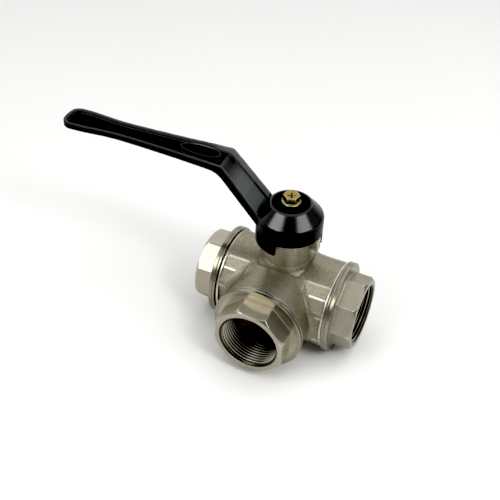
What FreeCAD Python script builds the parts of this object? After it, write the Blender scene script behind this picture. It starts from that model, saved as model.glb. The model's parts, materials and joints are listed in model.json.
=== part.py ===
import FreeCAD, Part
import math
import os

# Three-port (L-bore) lever ball valve with G 1 1/4 female ports, millimetres.
# +X is the right-hand port, -X the left-hand port, -Y the branch port, +Z the
# stem and lever.  Everything is laid out about the centre of the ball, where
# the run axis (X), the branch axis (Y) and the stem axis (Z) cross.  write()
# then moves each piece so that the origin lies on the branch axis, DATUM_DEPTH
# inside the face of the branch port, and the ball centre at (0, BALL_Y, 0).

Vec = FreeCAD.Vector
os.makedirs("parts", exist_ok=True)

# ------------------------------------------------- dimensions shared by pieces
RUN_HALF = 59.6            # centre to the face of a run port
BRANCH_LEN = 61.4          # centre to the face of the branch port
DATUM_DEPTH = 2.0
BALL_Y = BRANCH_LEN - DATUM_DEPTH
BODY_RUN = 40.0            # centre to the end face of a run arm
BODY_BRANCH = 42.0         # centre to the end face of the branch arm
CAVITY_R = 24.05           # bore of the body

BALL_R = 20.5
THROAT_R = 12.75           # bore of the seats and end connectors
SEAT_R = 18.0
SEAT_POCKET_R = SEAT_R + 0.05
SEAT_FLOOR = 25.0          # centre to the bottom of a connector's seat pocket
BACK_POCKET_Y = 26.0       # bottom of the seat pocket opposite the branch

STEM_R = 7.0
STEM_BORE_R = STEM_R + 0.05
STEM_COLLAR_R = 9.5
STEM_COLLAR_TOP = 25.9
STEM_SQUARE = 9.8          # across flats
STEM_SHOULDER = 62.0       # where the round stem turns square
STEM_TOP = 74.0
COLLAR_BORE_TOP = 27.0     # top of the pocket for the stem's collar
NECK_TOP = 54.0
GLAND_BORE_R = 11.0        # packing and gland nut bore in the neck
GLAND_BORE_Z = 43.0
SLOT_W = 8.0               # stem slot in the top of the ball
SLOT_FLOOR = 15.0

LEVER_AZ = 185.0           # direction of the lever, degrees from +X towards +Y
HUB_TOP = 76.7

GAP = 0.03                 # gap at seats, gaskets and O-rings
STACK_GAP = 0.05           # gap between the pieces stacked on the stem
OVER = 1.0                 # overrun of cutters and overlap of joined solids


# ------------------------------------------------------------------- helpers
ORIGIN = Vec(0, 0, 0)
X_AXIS, Y_AXIS, Z_AXIS = Vec(1, 0, 0), Vec(0, 1, 0), Vec(0, 0, 1)
AXES = {"x": X_AXIS, "-x": -X_AXIS, "y": Y_AXIS, "-y": -Y_AXIS, "z": Z_AXIS}
# Rotation (angle, about) that takes +Z to each of the other directions.
TURNS = {"x": (90, Y_AXIS), "-x": (-90, Y_AXIS), "y": (-90, X_AXIS), "-y": (90, X_AXIS)}


def spin(shape, angle, about=Z_AXIS):
    shape.rotate(ORIGIN, about, angle)
    return shape


def cyl(radius, start, end, axis="z"):
    direction = AXES[axis]
    return Part.makeCylinder(radius, end - start, direction * start, direction)


def ring(inner_r, outer_r, start, end):
    return cyl(outer_r, start, end).cut(cyl(inner_r, start - OVER, end + OVER))


def polygon_face(points):
    return Part.Face(Part.makePolygon(points + [points[0]]))


def revolve(profile, axis="z"):
    """Solid of revolution from (radius, height) points about one of the axes."""
    face = polygon_face([Vec(radius, 0, height) for radius, height in profile])
    solid = face.revolve(ORIGIN, Z_AXIS, 360)
    return spin(solid, *TURNS[axis]) if axis in TURNS else solid


def corner_radius(sides, across_flats):
    return across_flats / 2 / math.cos(math.pi / sides)


def prism(sides, across_flats, bottom, top, phase):
    """Regular prism along +Z with a corner at the angle phase (degrees)."""
    radius = corner_radius(sides, across_flats)
    angles = [math.radians(phase + 360 * k / sides) for k in range(sides)]
    corners = [Vec(radius * math.cos(a), radius * math.sin(a), bottom) for a in angles]
    return polygon_face(corners).extrude(Vec(0, 0, top - bottom))


def box(x0, x1, y0, y1, z0, z1):
    return Part.makeBox(x1 - x0, y1 - y0, z1 - z0, Vec(x0, y0, z0))


def circle_edges(shape, radius, centre, tol=0.05):
    return [e for e in shape.Edges
            if isinstance(e.Curve, Part.Circle) and abs(e.Curve.Radius - radius) < tol
            and (e.Curve.Center - centre).Length < tol]


def write(name, shape):
    if shape.ShapeType == "Compound" and len(shape.Solids) == 1:
        shape = shape.Solids[0]
    assert shape.isValid() and shape.Solids, name
    shape = shape.copy()
    shape.translate(Vec(0, BALL_Y, 0))
    shape.exportStep("parts/%s.step" % name)


# ---------------------------------------------------------------- valve body
ARM_R = 31.0               # outside radius of the three arms
FLAT_START, FLAT_END = 20.5, 60.0    # X range of the flats, past the arm's end
# Flats on the run arms: (direction of the normal from +Y towards +Z, distance).
# Each is mirrored in Y and Z.
FLATS = ((128.5, 30.72), (144.0, 30.62), (180.0, 29.2))
BOSS_R = 22.0              # blind boss opposite the branch
BOSS_Y = 30.0
BOSS_FILLET = 3.0
NECK_R = 17.2              # stem neck
NECK_CHAMFER = 0.8
# Flared foot of the neck: (radius, height).
NECK_FOOT = [(0, 24), (NECK_R + 3.2, 24), (NECK_R + 3.2, 28.2), (NECK_R + 1.0, 30.6),
             (NECK_R, 33.6), (0, 33.6)]
LUG_W = 4.4                # travel stop on the +X side of the neck
LUG_R = 22.4
LUG_Z0, LUG_Z1 = 44.0, 53.8
LUG_ROOT = 3.0             # depth of the lug inside the neck
BORE_CHAMFER = 0.8         # at the open ends of the cavity


def run_arms():
    run = cyl(ARM_R, -BODY_RUN, BODY_RUN, "x")
    for x0, x1 in ((FLAT_START, FLAT_END), (-FLAT_END, -FLAT_START)):
        for angle, dist in FLATS:
            for normal in (angle, 180 - angle, -angle, angle - 180):
                slab = box(x0, x1, dist, dist + 12, -40, 40)
                run = run.cut(spin(slab, normal, X_AXIS))
    return run


def body_cavity():
    cavity = cyl(CAVITY_R, -BODY_RUN - OVER, BODY_RUN + OVER, "x")
    cavity = cavity.fuse([
        cyl(CAVITY_R, 0, BODY_BRANCH + OVER, "-y"),
        cyl(SEAT_POCKET_R, 0, BACK_POCKET_Y, "y"),
        cyl(STEM_COLLAR_R + 0.1, 0, COLLAR_BORE_TOP),
        cyl(STEM_BORE_R, 0, NECK_TOP + OVER),
        cyl(GLAND_BORE_R, GLAND_BORE_Z, NECK_TOP + OVER),
    ])
    wide_r = CAVITY_R + BORE_CHAMFER
    for axis, end in (("x", BODY_RUN), ("-x", BODY_RUN), ("-y", BODY_BRANCH)):
        cavity = cavity.fuse(revolve([
            (0, end - 3), (CAVITY_R, end - BORE_CHAMFER), (wide_r, end),
            (wide_r, end + OVER), (0, end + OVER)], axis))
    return cavity


def valve_body():
    branch = cyl(ARM_R, 0, BODY_BRANCH, "-y")
    boss = cyl(BOSS_R, 0, BOSS_Y, "y")
    boss = boss.makeFillet(BOSS_FILLET, circle_edges(boss, BOSS_R, Vec(0, BOSS_Y, 0)))
    neck = cyl(NECK_R, 0, NECK_TOP)
    neck = neck.makeChamfer(NECK_CHAMFER, circle_edges(neck, NECK_R, Vec(0, 0, NECK_TOP)))
    lug = box(NECK_R - LUG_ROOT, LUG_R, -LUG_W / 2, LUG_W / 2, LUG_Z0, LUG_Z1)
    outer = run_arms().fuse([branch, boss, neck]).removeSplitter()
    outer = outer.fuse([revolve(NECK_FOOT), lug]).removeSplitter()
    return outer.cut(body_cavity())


write("valve_body", valve_body())

# ------------------------------------------------ end connectors and gaskets
COLLAR_R = 32.4            # round collar
COLLAR_T = 4.6
RIM, RIM_MID = 1.0, 0.3    # rounding of the collar's rims in two facets
GASKET_T = 0.5             # gap between body and collar, filled by the gasket
GASKET_RI, GASKET_RO = 24.4, 29.9
OCT_AF = 49.0              # wrench octagon, across flats
OCT_FACE_R = 24.7          # round edge left on the port face by the chamfer
OCT_CHAMFER = 2.2
THREAD_R = 19.476          # wall of the G 1 1/4 thread at its minor diameter
THREAD_DEPTH = 22.0
THREAD_TAPER = 4.0         # length of the cone from thread to throat
MOUTH_R = 21.3             # entry chamfer of the thread
SPIGOT_R = CAVITY_R - 0.1
SPIGOT_END = 24.4          # where the spigot turns into the cone nose
NOSE_END = 20.5
NOSE_INSET = 0.8           # the nose's radius is this much less than its height

# Name, face, end face of the arm, angle of an octagon corner.
PORTS = (("right", RUN_HALF, BODY_RUN, 1.65),
         ("left", RUN_HALF, BODY_RUN, 163.3),
         ("branch", BRANCH_LEN, BODY_BRANCH, 20.2))

# Rotations that point a part built along +Z out of a port, +Y turning to +Z.
PLACES = {
    "right": FreeCAD.Matrix(0, 0, 1, 0, 1, 0, 0, 0, 0, 1, 0, 0, 0, 0, 0, 1),
    "left": FreeCAD.Matrix(0, 0, -1, 0, -1, 0, 0, 0, 0, 1, 0, 0, 0, 0, 0, 1),
    "branch": FreeCAD.Matrix(1, 0, 0, 0, 0, 0, -1, 0, 0, 1, 0, 0, 0, 0, 0, 1),
}


def place(shape, port):
    shape = shape.copy()
    shape.transformShape(PLACES[port])
    return shape


def end_connector(face, body_end, phase):
    """Screwed end connector along +Z."""
    base = body_end + GASKET_T
    top = base + COLLAR_T
    collar = revolve([
        (0, base), (COLLAR_R - RIM, base), (COLLAR_R - RIM_MID, base + RIM_MID),
        (COLLAR_R, base + RIM), (COLLAR_R, top - RIM),
        (COLLAR_R - RIM_MID, top - RIM_MID), (COLLAR_R - RIM, top), (0, top)])
    octagon = prism(8, OCT_AF, top - OVER, face, phase)
    outside_r = corner_radius(8, OCT_AF) + 0.05
    envelope = revolve([(0, top - 2 * OVER), (outside_r, top - 2 * OVER),
                        (outside_r, face - OCT_CHAMFER), (OCT_FACE_R, face), (0, face)])
    spigot = revolve([
        (0, NOSE_END), (NOSE_END - NOSE_INSET, NOSE_END), (SPIGOT_END - NOSE_INSET, SPIGOT_END),
        (SPIGOT_R, SPIGOT_END + 0.2), (SPIGOT_R, base + 0.5), (0, base + 0.5)])
    solid = collar.fuse([octagon.common(envelope), spigot])
    thread_end = face - THREAD_DEPTH
    bore = revolve([
        (0, NOSE_END - OVER), (SEAT_POCKET_R, NOSE_END - OVER), (SEAT_POCKET_R, SEAT_FLOOR),
        (THROAT_R, SEAT_FLOOR), (THROAT_R, thread_end - THREAD_TAPER), (THREAD_R, thread_end),
        (THREAD_R, face - (MOUTH_R - THREAD_R)), (MOUTH_R, face),
        (MOUTH_R, face + OVER), (0, face + OVER)])
    return solid.cut(bore).removeSplitter()


for port, face, body_end, phase in PORTS:
    write("end_connector_" + port, place(end_connector(face, body_end, phase), port))
    gasket = ring(GASKET_RI, GASKET_RO, body_end + GAP, body_end + GASKET_T - GAP)
    write("connector_gasket_" + port, place(gasket, port))

# ------------------------------------------------------------------ ball seats
BACK_SEAT_Y = 23.9         # flat end of the seat opposite the branch
SEAT_OFFSET = 0.3          # height less radius along the seat's conical end
SEAT_ORING = (16.8, 0.97)  # ring radius, section radius


def seat(end):
    """Seat along +Z, hollowed to the ball, with its flat end at the height end."""
    blank = revolve([(THROAT_R, THROAT_R + SEAT_OFFSET), (SEAT_R, SEAT_R + SEAT_OFFSET),
                     (SEAT_R, end), (THROAT_R, end)])
    return blank.cut(Part.makeSphere(BALL_R + GAP))


for port, *_ in PORTS:
    write("ball_seat_" + port, place(seat(SEAT_FLOOR - GAP), port))
write("ball_seat_back", spin(seat(BACK_SEAT_Y), *TURNS["y"]))
seat_oring = spin(Part.makeTorus(*SEAT_ORING), *TURNS["y"])
seat_oring.translate(Vec(0, (BACK_SEAT_Y + BACK_POCKET_Y) / 2, 0))
write("seat_oring_back", seat_oring)

# ------------------------------------------------------------------------ ball
BALL_BORE_R = 12.5
BALL_CUT = 30.0            # reach of the ball's cutters, past its surface


def ball():
    # Bore legs along the lever's direction and 90 degrees past it.
    legs = cyl(BALL_BORE_R, 0, BALL_CUT, "x").fuse([
        cyl(BALL_BORE_R, 0, BALL_CUT, "y"), Part.makeSphere(BALL_BORE_R)])
    spin(legs, LEVER_AZ)
    slot = box(-BALL_CUT, BALL_CUT, -SLOT_W / 2, SLOT_W / 2, SLOT_FLOOR, BALL_CUT)
    spin(slot, LEVER_AZ)
    return Part.makeSphere(BALL_R).cut(legs.fuse(slot))


write("ball", ball())

# ------------------------------------------------------- stem and its sealing
STEM_FOOT = 21.2           # underside of the collar
STEM_COLLAR_CHAMFER = 0.4
TANG_HALF = 6.5            # half length of the tang in the ball's slot
TANG_TOP = 22.0
TANG_SIDE_GAP, TANG_END_GAP = 0.05, 0.2
STEM_HOLE_R = 2.5          # hole for the lever bolt
STEM_HOLE_Z = 58.0
ORING_Z = {"lower": 33.0, "upper": 38.0}
GROOVE_R = 5.2             # floor of the O-ring grooves
GROOVE_HALF = 1.2
PACKING_TOP = 46.6
GLAND_RING_TOP = 48.6
GLAND_RI = STEM_R + 0.1    # bore of gland ring and nut
GLAND_RO = GLAND_BORE_R - 0.08
NUT_AF = 24.0
NUT_TOP = 59.5


def stem():
    shaft = revolve([
        (0, STEM_FOOT), (STEM_COLLAR_R - STEM_COLLAR_CHAMFER, STEM_FOOT),
        (STEM_COLLAR_R, STEM_FOOT + STEM_COLLAR_CHAMFER), (STEM_COLLAR_R, STEM_COLLAR_TOP),
        (STEM_R, STEM_COLLAR_TOP), (STEM_R, STEM_SHOULDER), (0, STEM_SHOULDER)])
    half_w = SLOT_W / 2 - TANG_SIDE_GAP
    tang = box(-TANG_HALF, TANG_HALF, -half_w, half_w, SLOT_FLOOR + TANG_END_GAP, TANG_TOP)
    spin(tang, LEVER_AZ)
    square = prism(4, STEM_SQUARE, STEM_SHOULDER - OVER, STEM_TOP, 45 + LEVER_AZ)
    # Rounds the square's corners and chamfers its top.
    round_r = STEM_R - 0.05
    square = square.common(revolve([
        (0, STEM_SHOULDER - 2 * OVER), (round_r, STEM_SHOULDER - 2 * OVER),
        (round_r, STEM_TOP - 1.0), (STEM_R - 1.2, STEM_TOP), (0, STEM_TOP)]))
    solid = shaft.fuse([tang, square])
    for z in ORING_Z.values():
        solid = solid.cut(ring(GROOVE_R, STEM_R + OVER, z - GROOVE_HALF, z + GROOVE_HALF))
    return solid.cut(cyl(STEM_HOLE_R, STEM_HOLE_Z, STEM_TOP + OVER)).removeSplitter()


def gland_nut():
    bottom = GLAND_RING_TOP + STACK_GAP
    sleeve = cyl(GLAND_RO, bottom, NECK_TOP + 0.5)
    head = prism(6, NUT_AF, NECK_TOP + STACK_GAP, NUT_TOP, 0)
    # Chamfers the top corners of the hexagon.
    head = head.common(revolve([(0, NECK_TOP), (13.9, NECK_TOP), (13.9, NUT_TOP - 0.9),
                                (12.2, NUT_TOP), (0, NUT_TOP)]))
    bore = cyl(GLAND_RI, bottom - OVER, NUT_TOP + OVER)
    return sleeve.fuse(head).cut(bore).removeSplitter()


write("stem", stem())
for name, z in ORING_Z.items():
    oring = Part.makeTorus((STEM_R + GROOVE_R) / 2, (STEM_R - GROOVE_R) / 2 - GAP)
    oring.translate(Vec(0, 0, z))
    write("stem_oring_" + name, oring)
write("stem_thrust_washer", ring(STEM_BORE_R + 0.02, STEM_COLLAR_R - 0.05,
                                 STEM_COLLAR_TOP + STACK_GAP, COLLAR_BORE_TOP - GAP))
write("gland_packing", ring(STEM_BORE_R + GAP, GLAND_BORE_R - 0.05,
                            GLAND_BORE_Z + GAP, PACKING_TOP))
write("gland_ring", ring(GLAND_RI, GLAND_RO, PACKING_TOP + STACK_GAP, GLAND_RING_TOP))
write("gland_nut", gland_nut())

# ---------------------------------------------------------------------- lever
# Built pointing along +X and turned to LEVER_AZ at the end.
# Side profile: (distance from the stem axis, height).
TOP = [(8.0, 57.0), (19.6, 70.3), (45.1, 99.5), (104.0, 102.1), (166.0, 104.5)]
BOTTOM = [(166.0, 100.0), (134.0, 99.1), (104.0, 97.6), (60.0, 95.3), (50.6, 94.3),
          (45.3, 90.6), (21.2, 63.9), (14.0, 55.9)]
# Trough between the rims: its floor, closed well above the lever.
TROUGH = [(8.0, 50.5), (47.5, 95.7), (60.0, 96.7), (104.0, 99.2), (166.0, 101.7),
          (166.0, 120.0), (8.0, 120.0)]
# Plan outline: (distance from the stem axis, half width).
HALF_WIDTH = [(8.0, 14.8), (20.0, 14.1), (45.0, 12.3), (65.0, 11.2), (79.4, 10.1),
              (94.0, 9.4), (108.7, 8.75), (123.7, 8.55), (136.0, 9.4), (146.0, 10.4),
              (155.0, 10.7)]
LEVER_TIP = 164.0
RIM_W = 1.8                # width of the raised rims
SIDE_HALF = 20.0           # half thickness of the side-profile solids
# Raised pad on the floor: side profile, then plan (distance, half width).
PAD_SIDE = [(48.0, 94.6), (60.0, 96.0), (84.0, 97.3), (84.0, 100.9), (48.0, 99.3)]
PAD_PLAN = [(50.0, 0.0), (52.6, 3.6), (58.0, 5.4), (64.0, 5.7), (70.0, 5.2),
            (76.0, 3.7), (80.0, 0.0)]
PAD_Y = -1.0
HUB_R = 22.77
HUB_BORE_R = 19.9
HUB_BOTTOM = 55.3
HUB_EDGE = 67.3            # edge between the cylinder and the cone
HUB_TOP_R = 13.6
SKIRT_BOTTOM = 46.5        # the long part of the skirt
SKIRT_A0, SKIRT_A1 = 11.7, 268.3     # its span, degrees from +X
BOLT_HOLE_R = 3.2

HUB_PROFILE = [
    (0, HUB_BOTTOM), (HUB_R, HUB_BOTTOM), (HUB_R, HUB_EDGE - 0.6),
    (HUB_R - 0.6, HUB_EDGE + 0.35), (HUB_TOP_R + 0.5, HUB_TOP - 0.35),
    (HUB_TOP_R - 0.6, HUB_TOP), (0, HUB_TOP)]
WEB_BOTTOM = STEM_SHOULDER + STACK_GAP
HOLLOW_PROFILE = [
    (0, SKIRT_BOTTOM - OVER), (HUB_BORE_R, SKIRT_BOTTOM - OVER), (HUB_BORE_R, 65.0),
    (14.5, 70.8), (11.0, 70.8), (11.0, WEB_BOTTOM), (0, WEB_BOTTOM)]


def side_solid(points):
    face = polygon_face([Vec(x, -SIDE_HALF, z) for x, z in points])
    return face.extrude(Vec(0, 2 * SIDE_HALF, 0))


def spline(points, **options):
    curve = Part.BSplineCurve()
    curve.interpolate(points, **options)
    return curve.toShape()


def plan_solid(inset, nose):
    """Outline of the lever seen from above, moved in by inset, extruded tall.

    nose is the length of the rounded tip's foremost part."""
    z = 40
    tip = LEVER_TIP - inset
    left = [Vec(x, width - inset, z) for x, width in HALF_WIDTH]
    right = [Vec(p.x, -p.y, z) for p in left]
    tip_y = left[-1].y * 0.72
    left_edge = spline(left)
    right_edge = spline(right)
    tip_edge = spline([left[-1], Vec(tip - nose, tip_y, z), Vec(tip, 0, z),
                       Vec(tip - nose, -tip_y, z), right[-1]],
                      InitialTangent=Vec(6, -2.1, 0), FinalTangent=Vec(-6, -2.1, 0))
    root_edge = Part.makeLine(right[0], left[0])
    edges = Part.__sortEdges__([left_edge, tip_edge, right_edge, root_edge])
    return Part.Face(Part.Wire(edges)).extrude(Vec(0, 0, 90))


def skirt():
    low, high = SKIRT_BOTTOM, HUB_BOTTOM + OVER
    section = polygon_face([Vec(HUB_BORE_R, 0, low), Vec(HUB_R, 0, low),
                            Vec(HUB_R, 0, high), Vec(HUB_BORE_R, 0, high)])
    solid = section.revolve(ORIGIN, Z_AXIS, SKIRT_A1 - SKIRT_A0)
    return spin(solid, SKIRT_A0 - LEVER_AZ)


def pad():
    outline = [Vec(x, PAD_Y + width, 80) for x, width in PAD_PLAN]
    outline += [Vec(x, PAD_Y - width, 80) for x, width in reversed(PAD_PLAN[1:-1])]
    wire = Part.Wire([spline(outline, PeriodicFlag=True)])
    return side_solid(PAD_SIDE).common(Part.Face(wire).extrude(Vec(0, 0, 40)))


def lever():
    arm = side_solid(TOP + BOTTOM).common(plan_solid(0, 2.3))
    trough = side_solid(TROUGH).common(plan_solid(RIM_W, 2.2))
    hub = revolve(HUB_PROFILE)
    solid = hub.fuse(arm.cut(trough.cut(hub)))
    solid = solid.fuse(skirt())
    solid = solid.cut(revolve(HOLLOW_PROFILE))
    solid = solid.cut(prism(4, STEM_SQUARE + 0.1, 60, STEM_TOP + 0.2, 45))
    solid = solid.cut(cyl(BOLT_HOLE_R, 60, 90)).removeSplitter()
    solid = solid.fuse(pad().common(side_solid(TOP + BOTTOM))).removeSplitter()
    return spin(solid, LEVER_AZ)


write("lever_handle", lever())

# ----------------------------------------------------------------- lever bolt
BOLT_R = 2.45
BOLT_BOTTOM = 60.0
BOLT_AF = 10.0
BOLT_FLANGE_R = 6.5
BOLT_TOP = 82.6
BOLT_PHASE = 20            # angle of a hexagon corner and of one cross slot
DISH_R, DISH_DEPTH = 9.0, 1.0        # hollow in the top of the head
CROSS_HALF, CROSS_HALF_W, CROSS_DEPTH = 2.9, 0.55, 3.2

# Shank and flange, then the envelope of the hexagon: (radius, height).
BOLT_PROFILE = [
    (0, BOLT_BOTTOM), (2.0, BOLT_BOTTOM), (BOLT_R, BOLT_BOTTOM + 0.5), (BOLT_R, HUB_TOP + GAP),
    (BOLT_FLANGE_R - 0.3, HUB_TOP + GAP), (BOLT_FLANGE_R, HUB_TOP + 0.4),
    (BOLT_FLANGE_R, HUB_TOP + 0.9), (5.2, HUB_TOP + 1.6), (0, HUB_TOP + 1.6)]
BOLT_HEAD = [(0, HUB_TOP), (6.0, HUB_TOP), (6.0, BOLT_TOP - 0.5), (4.7, BOLT_TOP),
             (0, BOLT_TOP)]


def handle_bolt():
    hexagon = prism(6, BOLT_AF, HUB_TOP + 1.0, BOLT_TOP, BOLT_PHASE)
    bolt = revolve(BOLT_PROFILE).fuse(hexagon.common(revolve(BOLT_HEAD)))
    bolt = bolt.cut(Part.makeSphere(DISH_R, Vec(0, 0, BOLT_TOP + DISH_R - DISH_DEPTH)))
    for angle in (BOLT_PHASE, BOLT_PHASE + 90):
        slot = box(-CROSS_HALF, CROSS_HALF, -CROSS_HALF_W, CROSS_HALF_W,
                   BOLT_TOP - CROSS_DEPTH, BOLT_TOP + OVER)
        bolt = bolt.cut(spin(slot, angle))
    return bolt.removeSplitter()


write("handle_bolt", handle_bolt())
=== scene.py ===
"""Looks of a three-port lever ball valve.

Shapes are laid out in millimetres about the centre of the ball: +X is the right
port, -Y the branch port and +Z the stem.  SHIFT moves them to the frame of the
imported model, and meshes are stored in metres.
"""
import json
import math
from functools import reduce

import bpy
import numpy as np
from mathutils import Matrix


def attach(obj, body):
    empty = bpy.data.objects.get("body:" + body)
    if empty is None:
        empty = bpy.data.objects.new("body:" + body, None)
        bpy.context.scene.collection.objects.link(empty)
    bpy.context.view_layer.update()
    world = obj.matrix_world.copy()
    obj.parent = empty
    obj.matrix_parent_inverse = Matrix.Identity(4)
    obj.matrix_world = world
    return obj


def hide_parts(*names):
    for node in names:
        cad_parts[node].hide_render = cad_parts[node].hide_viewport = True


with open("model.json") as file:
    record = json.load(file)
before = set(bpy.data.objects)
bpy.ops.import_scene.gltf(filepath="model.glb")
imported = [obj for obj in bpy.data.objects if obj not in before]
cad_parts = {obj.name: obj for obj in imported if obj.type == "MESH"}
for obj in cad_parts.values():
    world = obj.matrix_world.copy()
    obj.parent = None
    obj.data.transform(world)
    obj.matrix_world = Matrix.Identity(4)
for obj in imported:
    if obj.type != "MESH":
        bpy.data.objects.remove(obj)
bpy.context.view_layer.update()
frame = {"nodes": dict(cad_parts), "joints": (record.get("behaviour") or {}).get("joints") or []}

TURN = [j for j in frame["joints"] if j["name"] == "handle_turn"][0]
SHIFT = np.array([TURN["pos_m"][0], TURN["pos_m"][1], 0.0]) * 1000.0
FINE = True

# Sizes shared between pieces
RUN_END = 40.0              # end of the body's run arms, along X
BRANCH_END = 42.0           # end of the body's branch arm, along -Y
RUN_FACE = 59.6             # outer face of the run connectors
BRANCH_FACE = 61.4
SEAT_RADIUS = 18.05         # pockets that hold the ball seats
COLLAR_RADIUS = 32.4        # connector collars, which rest on the floor


# ------------------------------------------------------------------ distances
# Solids are signed distance fields, negative inside.
def join(*parts):
    """Sharp union."""
    return reduce(np.minimum, parts)


def meet(*parts):
    """Sharp intersection."""
    return reduce(np.maximum, parts)


def meet_round(a, b, r):
    """Intersection with a round edge of radius r."""
    return np.minimum(meet(a, b), -r) + np.hypot(meet(a + r, 0), meet(b + r, 0))


def join_round(a, b, r):
    """Union with a fillet of radius r."""
    return -meet_round(-a, -b, r)


def carve(solid, tool, r):
    """Solid less tool, with a round edge of radius r."""
    return meet_round(solid, -tool, r)


def join_soft(a, b, width):
    """Union with a soft blend, whose width may vary from point to point."""
    h = np.maximum(width - np.abs(a - b), 0)
    return np.minimum(a, b) - h * h / (4 * np.maximum(width, 1e-3))


def meet_soft(a, b, width):
    return -join_soft(-a, -b, width)


def polygon_distance(px, py, points):
    """Signed distance to a closed polygon."""
    best = np.full(np.broadcast(px, py).shape, 1e9)
    inside = np.zeros(best.shape, bool)
    for (ax, ay), (bx, by) in zip(points, points[1:] + points[:1]):
        ex, ey = bx - ax, by - ay
        wx, wy = px - ax, py - ay
        t = np.clip((wx * ex + wy * ey) / max(ex * ex + ey * ey, 1e-12), 0, 1)
        best = np.minimum(best, (wx - ex * t) ** 2 + (wy - ey * t) ** 2)
        if ay != by:
            inside ^= ((ay > py) != (by > py)) & (px < ex * (py - ay) / ey + ax)
    return np.where(inside, -1.0, 1.0) * np.sqrt(best)


class Outline:
    def __init__(self, points, low, high, step=0.2):
        self.low, self.step = low, step
        xs = np.arange(low[0], high[0] + step, step)
        ys = np.arange(low[1], high[1] + step, step)
        self.table = polygon_distance(xs[:, None], ys[None, :], points).astype(np.float32)

    def __call__(self, x, y):
        table = self.table
        u = np.clip((x - self.low[0]) / self.step, 0, table.shape[0] - 1.001)
        v = np.clip((y - self.low[1]) / self.step, 0, table.shape[1] - 1.001)
        i, j = u.astype(np.int32), v.astype(np.int32)
        fu, fv = u - i, v - j
        return ((table[i, j] * (1 - fu) + table[i + 1, j] * fu) * (1 - fv)
                + (table[i, j + 1] * (1 - fu) + table[i + 1, j + 1] * fu) * fv)


def gradient(solid, points, reach=0.03):
    grad = np.empty((len(points), 3))
    for axis in range(3):
        q = points.copy()
        q[:, axis] += reach
        ahead = solid(*q.T)
        q[:, axis] -= 2 * reach
        grad[:, axis] = ahead - solid(*q.T)
    return grad / np.maximum(np.linalg.norm(grad, axis=1, keepdims=True), 1e-9)


# ----------------------------------------------------------- dual contouring
def crossings(solid, dist, low, cell, axis):
    """Where the surface crosses the grid edges along an axis: points, normals,
    and for each the numbers of the four cells round the edge, wound outwards."""
    b, c = (axis + 1) % 3, (axis + 2) % 3
    near, far = [slice(None)] * 3, [slice(None)] * 3
    near[axis], far[axis] = slice(0, -1), slice(1, None)
    inside = dist < 0
    start = np.argwhere(inside[tuple(near)] != inside[tuple(far)])
    for other in (b, c):
        start = start[(start[:, other] > 0) & (start[:, other] < dist.shape[other] - 1)]
    step = np.zeros(3, int)
    step[axis] = 1
    da = dist[tuple(start.T)].astype(float)
    db = dist[tuple((start + step).T)].astype(float)
    ta, tb = np.zeros(len(start)), np.ones(len(start))
    base = low + cell * start
    leaving = da < 0
    for _ in range(3):
        t = np.clip(ta + (tb - ta) * da / (da - db), 0, 1)
        points = base.copy()
        points[:, axis] += cell * t
        dt = solid(*points.T)
        same = (dt < 0) == (da < 0)
        ta, da = np.where(same, t, ta), np.where(same, dt, da)
        tb, db = np.where(same, tb, t), np.where(same, db, dt)
    rows, layers = dist.shape[1] - 1, dist.shape[2] - 1
    quad = []
    for ob, oc in ((-1, -1), (0, -1), (0, 0), (-1, 0)):
        q = start.copy()
        q[:, b] += ob
        q[:, c] += oc
        quad.append((q[:, 0] * rows + q[:, 1]) * layers + q[:, 2])
    quad = np.stack(quad, 1)
    return points, gradient(solid, points), np.where(leaving[:, None], quad, quad[:, ::-1])


def contour(solid, low, high, cell):
    """Surface of a solid as quads, with edges and corners kept sharp, and the
    exact normal of each vertex."""
    low = np.array(low, float)
    size = np.ceil((np.array(high, float) - low) / cell).astype(int) + 1
    grid = [low[a] + cell * np.arange(size[a]) for a in range(3)]
    dist = np.empty(tuple(size), np.float32)
    for i in range(0, size[0], 8):
        dist[i:i + 8] = solid(*np.meshgrid(grid[0][i:i + 8], grid[1], grid[2], indexing="ij"))
    found = [crossings(solid, dist, low, cell, axis) for axis in range(3)]
    points, normals, quads = (np.concatenate(part) for part in zip(*found))
    ids, owner = np.unique(quads, return_inverse=True)
    owner = owner.reshape(-1)
    rows, layers = size[1] - 1, size[2] - 1
    index = np.stack([ids // (rows * layers), (ids // layers) % rows, ids % layers], 1)
    centre = low + cell * (index + 0.5)
    # least-squares meeting point of the tangent planes in each cell
    p = np.repeat(points, 4, axis=0) - centre[owner]
    m = np.repeat(normals, 4, axis=0)
    k = len(ids)
    count = np.bincount(owner, minlength=k)
    mean = np.stack([np.bincount(owner, p[:, i], k) for i in range(3)], 1) / count[:, None]
    ata = np.empty((k, 3, 3))
    rhs = np.empty((k, 3))
    dot = (p * m).sum(1)
    for i in range(3):
        rhs[:, i] = np.bincount(owner, m[:, i] * dot, k)
        for j in range(i, 3):
            ata[:, i, j] = ata[:, j, i] = np.bincount(owner, m[:, i] * m[:, j], k)
    rhs -= np.einsum("kij,kj->ki", ata, mean)
    ata += np.eye(3) * (0.03 * count)[:, None, None]
    offset = mean + np.linalg.solve(ata, rhs[:, :, None])[:, :, 0]
    verts = centre + np.clip(offset, -0.5 * cell, 0.5 * cell)
    return verts, owner.reshape(-1, 4), gradient(solid, verts)


# --------------------------------------------------------------------- meshes
def crease(solid, verts, normals, reach=0.55):
    """Bend of the surface at each vertex, per millimetre: high on edges."""
    across = np.where(np.abs(normals[:, :1]) < 0.6, np.array([[1.0, 0, 0]]),
                      np.array([[0, 1.0, 0]]))
    tangent = np.cross(normals, across)
    tangent /= np.maximum(np.linalg.norm(tangent, axis=1, keepdims=True), 1e-9)
    total = -4 * solid(*verts.T)
    for direction in (tangent, np.cross(normals, tangent)):
        for step in (-reach, reach):
            total = total + solid(*(verts + step * direction).T)
    return total / (reach * reach)


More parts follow.
